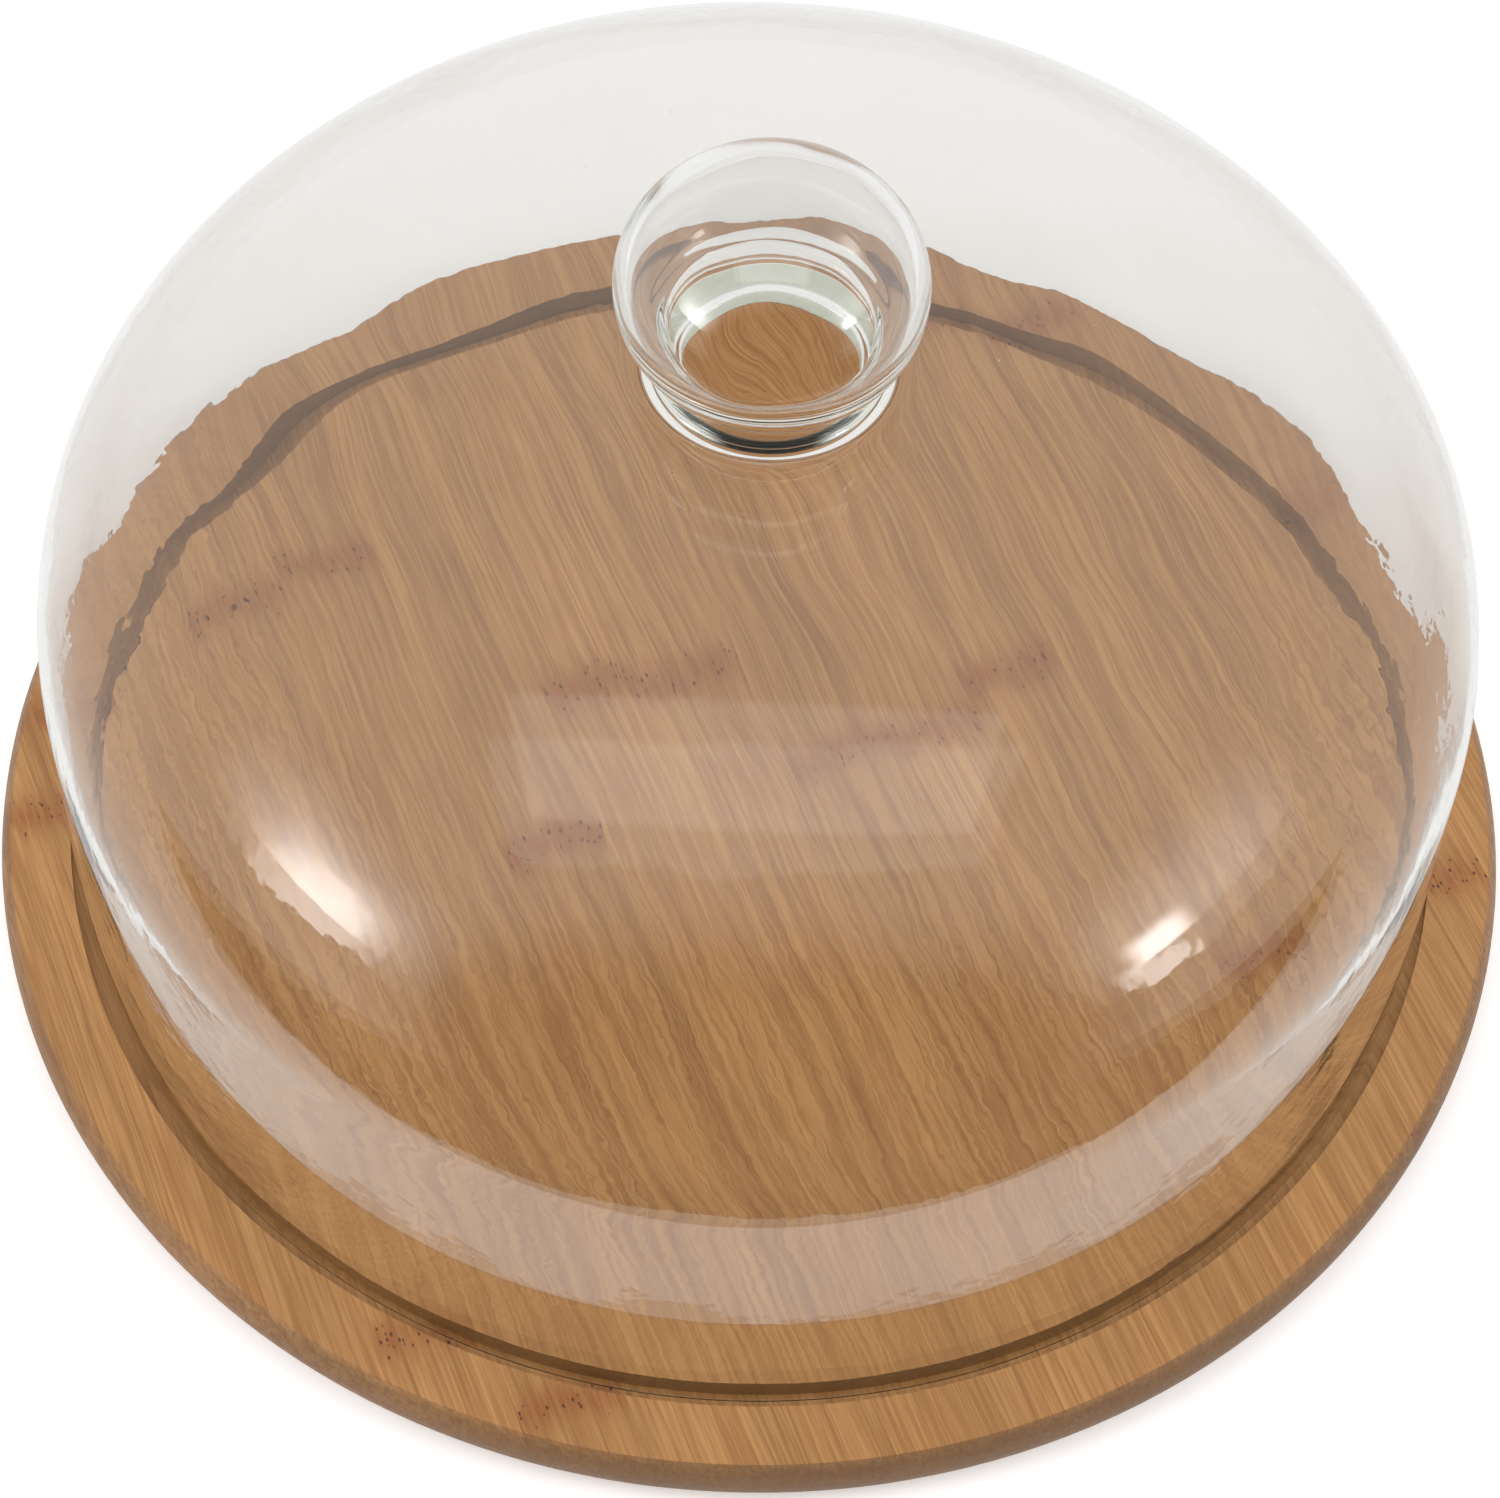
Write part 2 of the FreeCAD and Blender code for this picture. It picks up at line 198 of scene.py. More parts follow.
def bamboo_group():
    """Colour, roughness and relief of one stave, shared by every stave's material."""
    tree = bpy.data.node_groups.new("bamboo_stave", "ShaderNodeTree")
    for name in ["Seed"] + [f"Mark {number + 1}" for number in range(MARKS_PER_STAVE)]:
        tree.interface.new_socket(name, in_out="INPUT", socket_type="NodeSocketFloat")
    tree.interface.new_socket("Colour", in_out="OUTPUT", socket_type="NodeSocketColor")
    tree.interface.new_socket("Roughness", in_out="OUTPUT", socket_type="NodeSocketFloat")
    tree.interface.new_socket("Relief", in_out="OUTPUT", socket_type="NodeSocketFloat")
    given = add_node(tree, "NodeGroupInput")
    result = add_node(tree, "NodeGroupOutput")
    spot = add_node(tree, "ShaderNodeTexCoord")
    shift = add_node(tree, "ShaderNodeCombineXYZ")
    feed(tree, given.outputs["Seed"], shift.inputs["Z"])
    feed(tree, calculate(tree, "MULTIPLY", given.outputs["Seed"], 0.37), shift.inputs["Y"])
    moved = add_node(tree, "ShaderNodeVectorMath", operation="ADD")
    feed(tree, spot.outputs["Object"], moved.inputs[0])
    feed(tree, shift.outputs[0], moved.inputs[1])
    place = moved.outputs[0]

    # fibres, from broad tone to single vascular bundles
    sway = noise(tree, place, (30, 9, 30), 2)
    bend = add_node(tree, "ShaderNodeCombineXYZ")
    feed(tree, calculate(tree, "MULTIPLY", sway, 2.5 * MM), bend.inputs["X"])
    swayed = add_node(tree, "ShaderNodeVectorMath", operation="ADD")
    feed(tree, place, swayed.inputs[0])
    feed(tree, bend.outputs[0], swayed.inputs[1])
    along = swayed.outputs[0]
    tone = noise(tree, along, (70, 4, 70), 2)
    bands = noise(tree, along, (700, 14, 700), 2, 0.6)
    fibres = noise(tree, along, (1700, 55, 1700), 2, 0.65)
    lines = noise(tree, along, (1900, 18, 1900), 1)
    mixed = calculate(tree, "ADD", calculate(tree, "MULTIPLY", fibres, 0.50),
                      calculate(tree, "MULTIPLY", bands, 0.50))
    grain = stretch(tree, mixed, 0.36, 0.64, 0, 1)
    base = blend_colours(tree, grain, MIDDLE_FIBRE, LIGHT_FIBRE)
    dark = stretch(tree, lines, 0.55, 0.66, 0, 0.40)
    base = blend_colours(tree, dark, base, DARK_FIBRE)
    shade = stretch(tree, tone, 0.30, 0.70, 0.92, 1.07)
    base = blend_colours(tree, 1.0, base, grey(tree, shade), "MULTIPLY")

    # culm nodes: a ragged reddish stain with rows of dark pores
    split = add_node(tree, "ShaderNodeSeparateXYZ")
    feed(tree, spot.outputs["Object"], split.inputs[0])
    ragged = calculate(tree, "SUBTRACT", noise(tree, place, (420, 30, 420), 3, 0.75), 0.5)
    reach = calculate(tree, "MULTIPLY_ADD", ragged, 15 * MM, split.outputs["Y"])
    mark = 0.0
    for number in range(MARKS_PER_STAVE):
        gap = calculate(tree, "SUBTRACT", reach, given.outputs[f"Mark {number + 1}"])
        gap = calculate(tree, "DIVIDE", gap, 4.6 * MM)
        square = calculate(tree, "MULTIPLY", gap, gap)
        fall = calculate(tree, "EXPONENT", calculate(tree, "MULTIPLY", square, -1))
        mark = calculate(tree, "MAXIMUM", mark, fall)
    streaks = stretch(tree, fibres, 0.40, 0.58, 0.30, 1)
    stain = calculate(tree, "MULTIPLY", calculate(tree, "MULTIPLY", mark, streaks), 0.85)
    base = blend_colours(tree, stain, base, NODE_MARK)
    cells = add_node(tree, "ShaderNodeVectorMath", operation="MULTIPLY")
    feed(tree, place, cells.inputs[0])
    feed(tree, (1000, 560, 1000), cells.inputs[1])
    pores = add_node(tree, "ShaderNodeTexVoronoi")
    feed(tree, cells.outputs[0], pores.inputs["Vector"])
    feed(tree, 1.0, pores.inputs["Scale"])
    chance = add_node(tree, "ShaderNodeSeparateColor")
    feed(tree, pores.outputs["Color"], chance.inputs[0])
    pore = stretch(tree, pores.outputs["Distance"], 0.16, 0.34, 1, 0)
    pore = calculate(tree, "MULTIPLY", pore, stretch(tree, chance.outputs[0], 0.50, 0.62, 0, 1))
    pore = calculate(tree, "MULTIPLY", pore, stretch(tree, mark, 0.30, 0.65, 0, 0.95))
    base = blend_colours(tree, pore, base, NODE_DOT)

    # end grain, where a face looks along the fibres, and painted shade on the upright sides
    facing = add_node(tree, "ShaderNodeSeparateXYZ")
    feed(tree, spot.outputs["Normal"], facing.inputs[0])
    end_face = stretch(tree, calculate(tree, "ABSOLUTE", facing.outputs["Y"]), 0.35, 0.95, 0, 1)
    bundles = noise(tree, place, (1100, 120, 1100), 2, 0.6)
    speckle = blend_colours(tree, stretch(tree, bundles, 0.42, 0.62, 0, 0.7), END_GRAIN, DARK_FIBRE)
    base = blend_colours(tree, calculate(tree, "MULTIPLY", end_face, 0.75), base, speckle)
    # painted shade: upright faces, fully at the outer rim and a quarter as much elsewhere, are darkened
    # and cooled by a multiplied grey
    painted_side_shade = stretch(tree, calculate(tree, "ABSOLUTE", facing.outputs["Z"]), 0.60, 0.97, 0.80, 0)
    across = calculate(tree, "MULTIPLY", split.outputs["X"], split.outputs["X"])
    reach_out = calculate(tree, "MULTIPLY_ADD", split.outputs["Y"], split.outputs["Y"], across)
    at_edge = stretch(tree, calculate(tree, "SQRT", reach_out), 141 * MM, 143 * MM, 0.25, 1)
    painted_side_shade = calculate(tree, "MULTIPLY", painted_side_shade, at_edge)
    base = blend_colours(tree, painted_side_shade, base, PAINTED_SIDE_SHADE, "MULTIPLY")

    feed(tree, base, result.inputs["Colour"])
    feed(tree, stretch(tree, fibres, 0.3, 0.7, 0.50, 0.38), result.inputs["Roughness"])
    relief = calculate(tree, "SUBTRACT", fibres, calculate(tree, "MULTIPLY", pore, 1.5))
    feed(tree, relief, result.inputs["Relief"])
    return tree


def grey(tree, value):
    """A grey colour from a value."""
    node = add_node(tree, "ShaderNodeCombineColor")
    for target in node.inputs:
        feed(tree, value, target)
    return node.outputs[0]


def bamboo_material(group, number):
    """The material of one stave, with its own seed and node marks."""
    material = bpy.data.materials.new(f"bamboo_{number:02d}")
    material.use_nodes = True
    tree = material.node_tree
    shader = tree.nodes["Principled BSDF"]
    stave = add_node(tree, "ShaderNodeGroup", node_tree=group)
    feed(tree, 0.731 * number, stave.inputs["Seed"])
    for index, mark in enumerate(NODE_MARKS[number]):
        feed(tree, mark * MM, stave.inputs[f"Mark {index + 1}"])
    feed(tree, stave.outputs["Colour"], shader.inputs["Base Color"])
    feed(tree, stave.outputs["Roughness"], shader.inputs["Roughness"])
    bump = add_node(tree, "ShaderNodeBump")
    feed(tree, 0.35, bump.inputs["Strength"])
    feed(tree, 0.10 * MM, bump.inputs["Distance"])
    feed(tree, stave.outputs["Relief"], bump.inputs["Height"])
    feed(tree, bump.outputs[0], shader.inputs["Normal"])
    shader.inputs["Specular IOR Level"].default_value = 0.35
    return material


def dress_board():
    """Give every stave its bamboo."""
    group = bamboo_group()
    for number in range(1, STAVE_COUNT + 1):
        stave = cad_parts[f"bamboo_stave_{number:02d}"]
        material = bamboo_material(group, number)
        stave.data.materials.clear()
        stave.data.materials.append(material)


# ---- glass: section ----

def evenly(points, step):
    """The same path with points about one step apart."""
    points = np.asarray(points, float)
    lengths = np.hypot(*np.diff(points, axis=0).T)
    travelled = np.concatenate([[0], np.cumsum(lengths)])
    count = max(2, round(travelled[-1] / step) + 1)
    stops = np.linspace(0, travelled[-1], count)
    return np.stack([np.interp(stops, travelled, points[:, axis]) for axis in (0, 1)], -1)


def circle_arc(centre, radius, first, last):
    """An arc between two angles in degrees."""
    turns = np.radians(np.linspace(first, last, 40))
    return np.stack([centre[0] + radius * np.cos(turns), centre[1] + radius * np.sin(turns)], -1)


def upright_wall(top_radius, foot_radius, low):
    """The wall from just above the foot up to the bulge, where it stands upright."""
    rise = BULGE_HEIGHT - low
    inset = top_radius - foot_radius
    radius = (rise ** 2 + inset ** 2) / (2 * inset)
    heights = np.linspace(low, BULGE_HEIGHT, 200)
    across = top_radius - radius + np.sqrt(radius ** 2 - (heights - BULGE_HEIGHT) ** 2)
    return np.stack([across, heights], -1)


def shoulder(radius, crown, last_radius):
    """The shoulder from the bulge in to a distance from the axis."""
    last_turn = math.acos((last_radius / radius) ** (SHOULDER_POWER / 2))
    turns = np.linspace(0, last_turn, 400)
    across = radius * np.cos(turns) ** (2 / SHOULDER_POWER)
    up = BULGE_HEIGHT + (crown - BULGE_HEIGHT) * np.sin(turns) ** (2 / SHOULDER_POWER)
    return np.stack([across, up], -1)


def swept(start, start_way, end, end_way):
    """A smooth curve between two points whose directions at both ends are given."""
    start, end = np.asarray(start), np.asarray(end)
    start_way = np.asarray(start_way) / np.linalg.norm(start_way)
    end_way = np.asarray(end_way) / np.linalg.norm(end_way)
    reach = FLARE_FULLNESS * np.linalg.norm(end - start) / math.sqrt(2)
    handles = [start, start + start_way * reach, end - end_way * reach, end]
    share = np.linspace(0, 1, 80)[:, None]
    weights = [(1 - share) ** 3, 3 * share * (1 - share) ** 2, 3 * share ** 2 * (1 - share), share ** 3]
    return sum(weight * handle for weight, handle in zip(weights, handles))


def ball(half_width, half_height, first, last):
    """Part of the knob's section between two angles."""
    turns = np.linspace(first, last, 200)
    return np.stack([half_width * np.cos(turns), KNOB_HEIGHT + half_height * np.sin(turns)], -1)


def join_sections(sections):
    """One path from sections that meet end to end."""
    return np.concatenate([sections[0]] + [section[1:] for section in sections[1:]])


def outer_section():
    """The outside of the glass, from the middle of the foot up to the top of the knob."""
    foot_top = FLOOR_OF_GROOVE + FOOT_ROUND
    middle = FOOT_RADIUS - WALL / 2
    sole = [(middle, FLOOR_OF_GROOVE), (FOOT_RADIUS - FOOT_ROUND, FLOOR_OF_GROOVE)]
    rounding = circle_arc((FOOT_RADIUS - FOOT_ROUND, foot_top), FOOT_ROUND, -90, 0)
    wall = upright_wall(BULGE_RADIUS, FOOT_RADIUS, foot_top)
    crown = shoulder(BULGE_RADIUS, CROWN_HEIGHT, FLARE_RADIUS)
    waist = (WAIST_RADIUS, WAIST_HEIGHT)
    flare = swept(crown[-1], crown[-1] - crown[-2], waist, (0, 1))
    knob = ball(KNOB_RADIUS, KNOB_HALF_HEIGHT, JOIN_ANGLE, math.pi / 2)
    neck = swept(waist, (0, 1), knob[0], knob[1] - knob[0])
    steps = [(sole, 0.4), (rounding, 0.4), (wall, 1.8), (crown, 1.6),
             (flare, 0.7), (neck, 0.6), (knob, 0.9)]
    return join_sections([evenly(path, step * MM) for path, step in steps])


def inner_section():
    """The inside of the glass, from the top of the knob down to the middle of the foot."""
    cavity = KNOB_RADIUS - KNOB_WALL
    socket_angle = -math.acos(SOCKET_RADIUS / cavity)
    hollow = join_sections([ball(cavity, KNOB_HALF_HEIGHT - KNOB_WALL, math.pi / 2, 0),
                            ball(cavity, CAVITY_DROP, 0, socket_angle)])
    crown = shoulder(BULGE_RADIUS - WALL, CROWN_HEIGHT - CROWN_WALL, HOLE_RADIUS + EDGE_ROUND)[::-1]
    socket_foot = (SOCKET_RADIUS - EDGE_ROUND, LEDGE_HEIGHT + EDGE_ROUND)
    hole_top = (HOLE_RADIUS + EDGE_ROUND, LEDGE_HEIGHT - EDGE_ROUND)
    hole_foot = (HOLE_RADIUS + EDGE_ROUND, crown[0][1] + EDGE_ROUND)
    socket = [hollow[-1], (SOCKET_RADIUS, socket_foot[1])]
    ledge_in = circle_arc(socket_foot, EDGE_ROUND, 0, -90)
    ledge_out = circle_arc(hole_top, EDGE_ROUND, 90, 180)
    hole = [ledge_out[-1], (HOLE_RADIUS, hole_foot[1])]
    hole_round = circle_arc(hole_foot, EDGE_ROUND, 180, 270)
    foot_inner = FOOT_RADIUS - WALL
    foot_top = FLOOR_OF_GROOVE + FOOT_ROUND
    wall = upright_wall(BULGE_RADIUS - WALL, foot_inner, foot_top)[::-1]
    rounding = circle_arc((foot_inner + FOOT_ROUND, foot_top), FOOT_ROUND, 180, 270)
    sole = [(foot_inner + FOOT_ROUND, FLOOR_OF_GROOVE), (FOOT_RADIUS - WALL / 2, FLOOR_OF_GROOVE)]
    steps = [
        (hollow, 0.9), (socket, 0.8), (ledge_in, 0.2), ([ledge_in[-1], ledge_out[0]], 0.4),
        (ledge_out, 0.2), (hole, 0.7), (hole_round, 0.2), (crown, 1.6), (wall, 1.8),
        (rounding, 0.4), (sole, 0.4),
    ]
    return join_sections([evenly(path, step * MM) for path, step in steps])


# ---- glass: mesh ----

AROUND = 384
RIPPLE_WAVES = 40


def ripples(places, wavelength, rng):
    """A smooth random field of about unit size over places."""
    ways = rng.normal(size=(RIPPLE_WAVES, 3))
    ways /= np.linalg.norm(ways, axis=1)[:, None]
    counts = 2 * math.pi / (wavelength * rng.uniform(0.7, 1.5, RIPPLE_WAVES))
    phases = rng.uniform(0, 2 * math.pi, RIPPLE_WAVES)
    total = np.zeros(len(places))
    for way, count, phase in zip(ways, counts, phases):
        total += np.cos(places @ way * count + phase)
    return total * math.sqrt(2 / RIPPLE_WAVES)


def section_normals(section):
    """Directions square to a section, to its right as it is walked."""
    ways = np.gradient(section, axis=0)
    ways /= np.linalg.norm(ways, axis=1)[:, None]
    return np.stack([ways[:, 1], -ways[:, 0]], -1)


def turned_points(section, shifts=None):
    """Every point of a section turned round the axis, pushed along its normal by shifts."""
    turns = np.arange(AROUND) * 2 * math.pi / AROUND
    around = np.stack([np.cos(turns), np.sin(turns)], -1)
    radii = np.repeat(section[:, 0], AROUND)
    heights = np.repeat(section[:, 1], AROUND)
    ring = np.tile(around, (len(section), 1))
    places = np.column_stack([ring * radii[:, None], heights])
    if shifts is None:
        return places
    normals = section_normals(section)
    across = np.repeat(normals[:, 0], AROUND)
    up = np.repeat(normals[:, 1], AROUND)
    push = shifts(places)
    return places + np.column_stack([ring * (across * push)[:, None], up * push])


def rise_between(values, low, high):
    """A smooth step from 0 at low to 1 at high."""
    share = np.clip((values - low) / (high - low), 0, 1)
    return share * share * (3 - 2 * share)


def outer_shift(places):
    """How far the outer skin of the blown glass strays from true."""
    rng = np.random.default_rng(11)
    clear_of_foot = rise_between(places[:, 2], FLOOR_OF_GROOVE + 2 * MM, FLOOR_OF_GROOVE + 15 * MM)
    return -0.05 * MM * clear_of_foot * (1 + ripples(places, 60 * MM, rng) * 0.3)


def inner_shift(places):
    """The inner skin, which the blowing leaves with fine waves."""
    rng = np.random.default_rng(5)
    across = np.hypot(places[:, 0], places[:, 1])
    clear_of_foot = rise_between(places[:, 2], FLOOR_OF_GROOVE + 2 * MM, FLOOR_OF_GROOVE + 12 * MM)
    broad = ripples(places, 30 * MM, rng) * 0.045 * MM
    in_shoulder = rise_between(across, 70 * MM, 115 * MM)
    fine = ripples(places, 12 * MM, rng) * 0.008 * MM * (0.15 + 0.85 * in_shoulder)
    in_dome = rise_between(across, HOLE_RADIUS + 2 * MM, HOLE_RADIUS + 14 * MM)
    in_dome = np.where(places[:, 2] > LEDGE_HEIGHT, 0, in_dome)
    rings = np.sin(across * 2 * math.pi / (4 * MM)) * 0.005 * MM
    rings *= rise_between(across, 24 * MM, 29 * MM) * (1 - rise_between(across, 38 * MM, 48 * MM))
    in_knob = rise_between(places[:, 2], WAIST_HEIGHT, WAIST_HEIGHT + 6 * MM)
    knob_waves = ripples(places, 16 * MM, rng) * 0.05 * MM
    return clear_of_foot * in_dome * (broad + fine + rings) + in_knob * knob_waves


def lathe_faces(first, rings):
    """Quads between neighbouring rings of points."""
    faces = []
    for ring in range(rings - 1):
        low = first + ring * AROUND
        for number in range(AROUND):
            following = (number + 1) % AROUND
            faces.append((low + number, low + following, low + AROUND + following, low + AROUND + number))
    return faces


SEEDS = 12                               # air bubbles in the wall
SEED_SIZES = (0.10 * MM, 0.20 * MM)


def seed_bubbles(first, rng):
    """Tiny air bubbles shut in the wall: points, and faces that look into the bubble."""
    points, faces = [], []
    rows, columns = 5, 8
    for _ in range(SEEDS):
        turn = rng.uniform(0, 2 * math.pi)
        across = (BULGE_RADIUS - WALL / 2) * rng.uniform(0.25, 0.9)
        top = CROWN_HEIGHT - CROWN_WALL / 2 - BULGE_HEIGHT
        share = (across / (BULGE_RADIUS - WALL / 2)) ** SHOULDER_POWER
        centre = np.array([across * math.cos(turn), across * math.sin(turn),
                           BULGE_HEIGHT + top * (1 - share) ** (1 / SHOULDER_POWER)])
        size = rng.uniform(*SEED_SIZES)
        lengthen = rng.uniform(1.0, 2.2)
        along = np.array([-math.sin(turn), math.cos(turn), 0])
        start = first + len(points)
        for row in range(1, rows):
            tilt = math.pi * row / rows
            for column in range(columns):
                spin = 2 * math.pi * column / columns
                spoke = np.array([math.sin(tilt) * math.cos(spin),
                                  math.sin(tilt) * math.sin(spin),
                                  math.cos(tilt)])
                points.append(centre + size * (spoke + along * (lengthen - 1) * spoke.dot(along)))
        points.append(centre + np.array([0, 0, size]))
        points.append(centre - np.array([0, 0, size]))
        top_point = start + (rows - 1) * columns
        low_point = top_point + 1
        for column in range(columns):
            following = (column + 1) % columns
            faces.append((top_point, start + following, start + column))
            last = start + (rows - 2) * columns
            faces.append((low_point, last + column, last + following))
            for row in range(rows - 2):
                low = start + row * columns
                faces.append((low + column, low + following,
                              low + columns + following, low + columns + column))
    return points, faces


def apex_over(ring, half_width, half_height):
    """The top of a ball just above its last ring, which its waves may have moved."""
    across = np.hypot(ring[:, 0], ring[:, 1]).mean()
    return (0, 0, ring[:, 2].mean() + across ** 2 * half_height / (2 * half_width ** 2))


def glass_mesh():
    """The whole blown cloche as one closed skin: foot, dome, neck and hollow knob."""
    outside, inside = outer_section(), inner_section()
    outer_rings = turned_points(outside[:-1], outer_shift)
    inner_rings = turned_points(inside[1:-1], inner_shift)
    outer_count, inner_count = len(outside) - 1, len(inside) - 2
    top = len(outer_rings)
    inner_top = top + 1
    inner_first = inner_top + 1
    outer_apex = apex_over(outer_rings[-AROUND:], KNOB_RADIUS, KNOB_HALF_HEIGHT)
    inner_apex = apex_over(inner_rings[:AROUND], KNOB_RADIUS - KNOB_WALL, KNOB_HALF_HEIGHT - KNOB_WALL)
    points = [outer_rings, [outer_apex], [inner_apex], inner_rings]
    faces = lathe_faces(0, outer_count) + lathe_faces(inner_first, inner_count)
    last_outer = (outer_count - 1) * AROUND
    last_inner = inner_first + (inner_count - 1) * AROUND
    for number in range(AROUND):
        following = (number + 1) % AROUND
        faces.append((last_outer + number, last_outer + following, top))
        faces.append((inner_top, inner_first + following, inner_first + number))
        faces.append((last_inner + number, last_inner + following, following, number))
    bubble_points, bubble_faces = seed_bubbles(inner_first + len(inner_rings), np.random.default_rng(31))
    points.append(bubble_points)
    faces += bubble_faces
    mesh = bpy.data.meshes.new("cloche_glass")
    mesh.from_pydata(np.concatenate([np.asarray(part) for part in points]).tolist(), [], faces)
    mesh.validate()
    mesh.shade_smooth()
    waviness = np.full(len(mesh.vertices), 0.10)
    inner = np.arange(inner_first, inner_first + len(inner_rings))
    heights = inner_rings[:, 2]
    reach = np.hypot(inner_rings[:, 0], inner_rings[:, 1])
    in_dome = 0.06 + 0.94 * rise_between(reach, 78 * MM, 118 * MM)
    waviness[inner] = np.where(heights > LEDGE_HEIGHT, 0.35, in_dome)
    mesh.attributes.new("waviness", "FLOAT", "POINT").data.foreach_set("value", waviness)
    return mesh


GLASS_COLOUR = (0.950, 0.946, 0.942, 1)  # at each surface
GLASS_SHADE = (0.58, 0.66, 0.50, 1)      # within the glass
GLASS_DEPTH = 8.0                        # how fast the shade builds up, for each metre
GLASS_INDEX = 1.5


def glass_material():
    """Clear soda-lime glass: lamps pass through, thick places turn slightly green."""
    material = bpy.data.materials.new("clear_glass")
    material.use_nodes = True
    tree = material.node_tree
    shader = tree.nodes["Principled BSDF"]
    shader.inputs["Base Color"].default_value = GLASS_COLOUR
    shader.inputs["Roughness"].default_value = 0.0
    shader.inputs["IOR"].default_value = GLASS_INDEX
    shader.inputs["Transmission Weight"].default_value = 1.0
    spot = add_node(tree, "ShaderNodeTexCoord")
    waves = noise(tree, spot.outputs["Object"], (240, 240, 240), 1.5, 0.5)
    amount = add_node(tree, "ShaderNodeAttribute", attribute_name="waviness")
    bump = add_node(tree, "ShaderNodeBump")
    feed(tree, 1.0, bump.inputs["Strength"])
    feed(tree, 0.045 * MM, bump.inputs["Distance"])
    feed(tree, calculate(tree, "MULTIPLY", waves, amount.outputs["Fac"]), bump.inputs["Height"])
    feed(tree, bump.outputs[0], shader.inputs["Normal"])
    clear = add_node(tree, "ShaderNodeBsdfTransparent")
    feed(tree, (0.97, 0.98, 0.97, 1), clear.inputs["Color"])
    path = add_node(tree, "ShaderNodeLightPath")
    lamp_light = calculate(tree, "MAXIMUM", path.outputs["Is Shadow Ray"], path.outputs["Is Diffuse Ray"])
    choice = add_node(tree, "ShaderNodeMixShader")
    feed(tree, lamp_light, choice.inputs[0])
    feed(tree, shader.outputs[0], choice.inputs[1])
    feed(tree, clear.outputs[0], choice.inputs[2])
    output = tree.nodes["Material Output"]
    feed(tree, choice.outputs[0], output.inputs["Surface"])
    shade = add_node(tree, "ShaderNodeVolumeAbsorption")
    shade.inputs["Color"].default_value = GLASS_SHADE
    shade.inputs["Density"].default_value = GLASS_DEPTH
    feed(tree, shade.outputs[0], output.inputs["Volume"])
    return material


def build_glass():
    """The blown cloche, which stands for both glass nodes."""
    cloche = bpy.data.objects.new("cloche_glass", glass_mesh())
    bpy.context.scene.collection.objects.link(cloche)
    cloche.data.materials.append(glass_material())
    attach(cloche, "cover")
    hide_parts("glass_dome", "glass_knob")
    return cloche


# ---- studio ----

FLOOR_REACH = 3.0
FLOOR_GLOW = 0.22                        # keeps the table white under the board's shadow
TABLE_DIM = 0.30                         # darkening of the table's mirror image in the glass
THROUGH_DIM = 0.235                      # darkening of the table seen through the glass
FLAG_LINE = 178 * MM                     # the mirrored table is dark beyond this far in front


def mirror_image(tree):
    """1 along light paths that were mirrored by glass on the way to the eye, else 0."""
    path = add_node(tree, "ShaderNodeLightPath")
    mirrored = stretch(tree, path.outputs["Glossy Depth"], 0.4, 0.6, 0, 1)
    unscattered = calculate(tree, "LESS_THAN", path.outputs["Diffuse Depth"], 0.5)
    return calculate(tree, "MULTIPLY", mirrored, unscattered)


def build_floor():
    """A round white table top that runs out of view, painted dark in the glass's mirror images and dimmed
    where seen through the glass.
    """
    turns = [2 * math.pi * number / 96 for number in range(96)]
    rim = [(FLOOR_REACH * math.cos(turn), FLOOR_REACH * math.sin(turn), -0.1 * MM) for turn in turns]
    mesh = bpy.data.meshes.new("table_top")
    mesh.from_pydata(rim, [], [tuple(range(len(rim)))])
    floor = bpy.data.objects.new("table_top", mesh)
    bpy.context.scene.collection.objects.link(floor)
    material = bpy.data.materials.new("white_table")
    material.use_nodes = True
    tree = material.node_tree
    shader = tree.nodes["Principled BSDF"]
    spot = add_node(tree, "ShaderNodeTexCoord")
    mottle = noise(tree, spot.outputs["Object"], (40, 40, 40), 3)
    colour = blend_colours(tree, mottle, (0.90, 0.90, 0.90, 1), (0.94, 0.94, 0.94, 1))
    split = add_node(tree, "ShaderNodeVectorMath", operation="DOT_PRODUCT")
    feed(tree, spot.outputs["Object"], split.inputs[0])
    feed(tree, tuple(studio_place(0, 1, 0)), split.inputs[1])
    beyond = stretch(tree, split.outputs["Value"], -FLAG_LINE - 3 * MM, -FLAG_LINE, 1, 0)
    painted_dark = calculate(tree, "MULTIPLY", calculate(tree, "MAXIMUM", beyond, TABLE_DIM), mirror_image(tree))
    path = add_node(tree, "ShaderNodeLightPath")
    through = calculate(tree, "GREATER_THAN", path.outputs["Transmission Depth"], 0.5)
    painted_dark = calculate(tree, "MAXIMUM", painted_dark, calculate(tree, "MULTIPLY", through, THROUGH_DIM))
    # painted reflection: in the glass's mirror images the table turns near black beyond the flag line and
    # somewhat darker nearer, and it is painted dimmer where seen through the glass
    colour = blend_colours(tree, painted_dark, colour, (0.03, 0.03, 0.03, 1))
    feed(tree, colour, shader.inputs["Base Color"])
    feed(tree, stretch(tree, mottle, 0.3, 0.7, 0.75, 0.85), shader.inputs["Roughness"])
    shader.inputs["Specular IOR Level"].default_value = 0.1
    shader.inputs["Emission Color"].default_value = (1, 1, 1, 1)
    shine = calculate(tree, "MULTIPLY", calculate(tree, "SUBTRACT", 1, painted_dark), FLOOR_GLOW)
    feed(tree, shine, shader.inputs["Emission Strength"])
    mesh.materials.append(material)


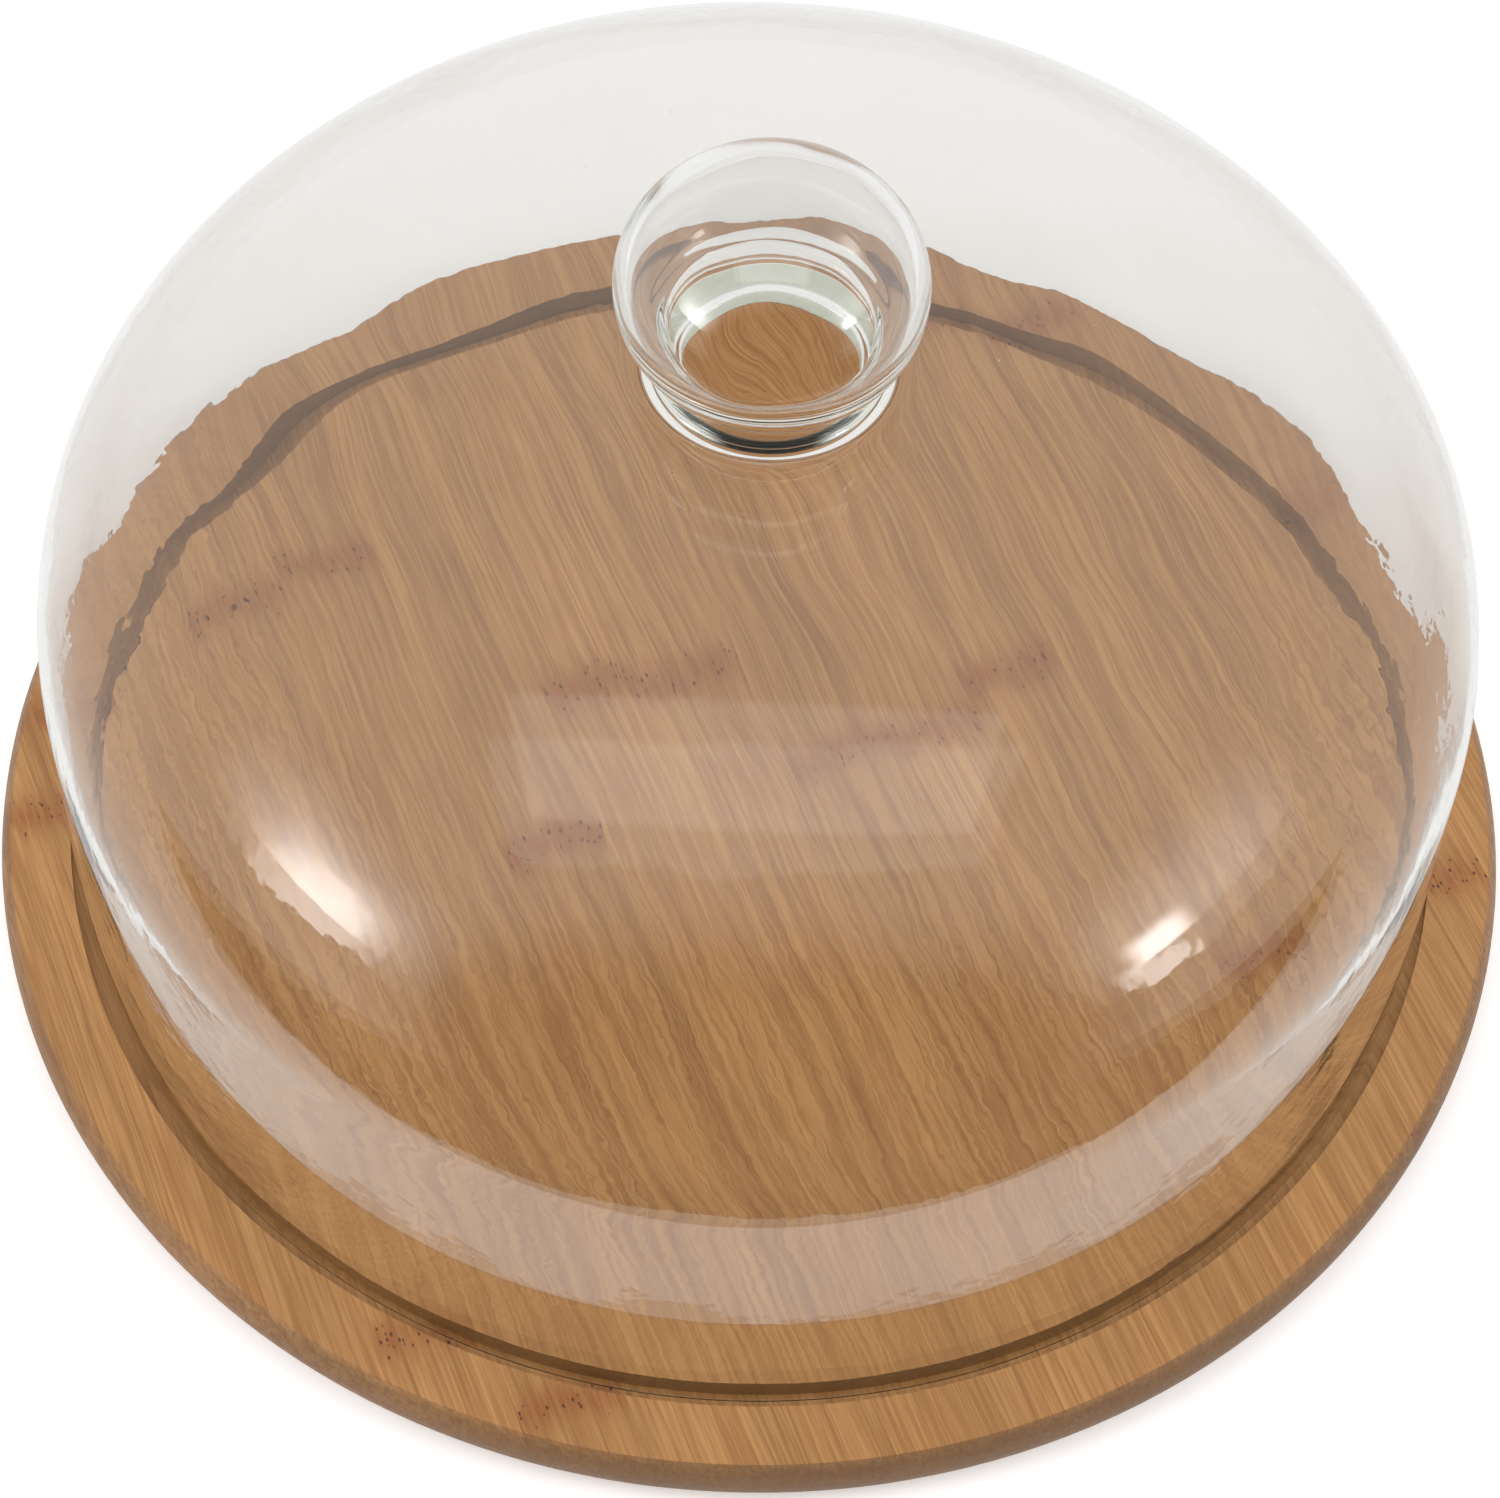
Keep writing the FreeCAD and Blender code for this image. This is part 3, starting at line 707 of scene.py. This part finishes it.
def add_key_light(name, azimuth, elevation, distance, size, power):
    """A broad lamp for the modelling light; the world carries its reflection."""
    lamp = bpy.data.lights.new(name, "AREA")
    lamp.shape = "RECTANGLE"
    lamp.size, lamp.size_y = size
    lamp.energy = power
    lamp_object = bpy.data.objects.new(name, lamp)
    centre = Vector((0, 0, BOARD_TOP + 60 * MM))
    lamp_object.location = centre + studio_way(azimuth, elevation) * distance
    lamp_object.rotation_euler = (centre - lamp_object.location).to_track_quat("-Z", "Y").to_euler()
    lamp_object.visible_glossy = False
    lamp_object.visible_transmission = False
    lamp_object.visible_camera = False
    bpy.context.scene.collection.objects.link(lamp_object)


def world_patch(tree, way, azimuth, elevation, half_width, half_height, softness):
    """One soft-edged rectangle on the sky; sizes are tangents of angles from its middle."""
    middle = studio_way(azimuth, elevation)
    side = Vector((0, 0, 1)).cross(middle).normalized()
    up = middle.cross(side)
    parts = []
    for axis in (middle, side, up):
        node = add_node(tree, "ShaderNodeVectorMath", operation="DOT_PRODUCT")
        feed(tree, way, node.inputs[0])
        feed(tree, tuple(axis), node.inputs[1])
        parts.append(node.outputs["Value"])
    ahead = calculate(tree, "MAXIMUM", parts[0], 0.001)
    amount = stretch(tree, parts[0], 0.0, 0.05, 0, 1)
    for part, half in ((parts[1], half_width), (parts[2], half_height)):
        reach = calculate(tree, "ABSOLUTE", calculate(tree, "DIVIDE", part, ahead))
        edge = stretch(tree, reach, half - softness, half + softness, 1, 0)
        amount = calculate(tree, "MULTIPLY", amount, edge)
    return amount


SKY_LEVEL = 1.0
MIRROR_SKY = 0.98                        # the room as the glass mirrors it
FRONT_LEVEL = 0.03                       # its dim front
PANEL_LEVEL = 1.05                       # the panel overhead
LAMP_FOOT = math.sin(math.radians(20))   # no painted lamp reaches below this rise

# Lamps painted on the sky: azimuth, elevation, half width, half height, softness, strength.
SKY_LAMPS = (
    (-66, 28, 0.26, 0.17, 0.16, 2.0),
    (-64, 22, 0.12, 0.15, 0.09, 7.0),
    (70, 28, 0.26, 0.17, 0.16, 1.6),
    (61, 23, 0.07, 0.06, 0.04, 16.0),
)


def build_world():
    """White all round but for the dim front of the room, with soft lights painted on."""
    world = bpy.data.worlds.new("studio")
    bpy.context.scene.world = world
    world.use_nodes = True
    tree = world.node_tree
    spot = add_node(tree, "ShaderNodeTexCoord")
    way = spot.outputs["Generated"]
    facing = add_node(tree, "ShaderNodeVectorMath", operation="DOT_PRODUCT")
    feed(tree, way, facing.inputs[0])
    feed(tree, tuple(studio_way(3, 12)), facing.inputs[1])
    level = stretch(tree, facing.outputs["Value"], 0.53, 0.80, MIRROR_SKY, FRONT_LEVEL)
    panel = world_patch(tree, way, 0, 84.5, 0.42, 0.16, 0.012)
    level = calculate(tree, "MULTIPLY_ADD", panel, PANEL_LEVEL, level)
    split = add_node(tree, "ShaderNodeSeparateXYZ")
    feed(tree, way, split.inputs[0])
    above = stretch(tree, split.outputs["Z"], LAMP_FOOT - 0.008, LAMP_FOOT + 0.008, 0, 1)
    for *place, strength in SKY_LAMPS:
        lit = calculate(tree, "MULTIPLY", world_patch(tree, way, *place), above)
        level = calculate(tree, "MULTIPLY_ADD", lit, strength, level)
    mirrored = mirror_image(tree)
    plain = calculate(tree, "MULTIPLY", calculate(tree, "SUBTRACT", 1, mirrored), SKY_LEVEL)
    background = tree.nodes["Background"]
    background.inputs["Color"].default_value = (1, 1, 1, 1)
    feed(tree, calculate(tree, "MULTIPLY_ADD", mirrored, level, plain), background.inputs["Strength"])


def build_camera():
    """The camera at the view's angle, with the whole board and dome in frame."""
    data = bpy.data.cameras.new("view")
    data.lens = LENS_MM
    data.sensor_width = SENSOR_MM
    camera = bpy.data.objects.new("view", data)
    bpy.context.scene.collection.objects.link(camera)
    target = studio_place(VIEW_TARGET[0], VIEW_TARGET[1], BOARD_TOP)
    level = VIEW_DISTANCE * math.cos(VIEW_ELEVATION)
    place = studio_place(0, -level, BOARD_TOP + VIEW_DISTANCE * math.sin(VIEW_ELEVATION))
    backward = (place - target).normalized()
    right = Vector((0, 0, 1)).cross(backward).normalized()
    up = backward.cross(right)
    rolled_right = math.cos(VIEW_ROLL) * right + math.sin(VIEW_ROLL) * up
    rolled_up = backward.cross(rolled_right)
    turn = Matrix((rolled_right, rolled_up, backward)).transposed()
    camera.matrix_world = Matrix.Translation(place) @ turn.to_4x4()
    bpy.context.scene.camera = camera


dress_board()
build_glass()
build_floor()
add_key_light("key_left", -66, 45, 1.3, (0.6, 0.6), 4)
add_key_light("key_right", 70, 45, 1.3, (0.6, 0.6), 3)
build_world()
build_camera()
bpy.context.scene.view_settings.view_transform = "Standard"
bpy.context.scene.cycles.max_bounces = 32
bpy.context.scene.cycles.transmission_bounces = 32
bpy.context.scene.cycles.glossy_bounces = 16
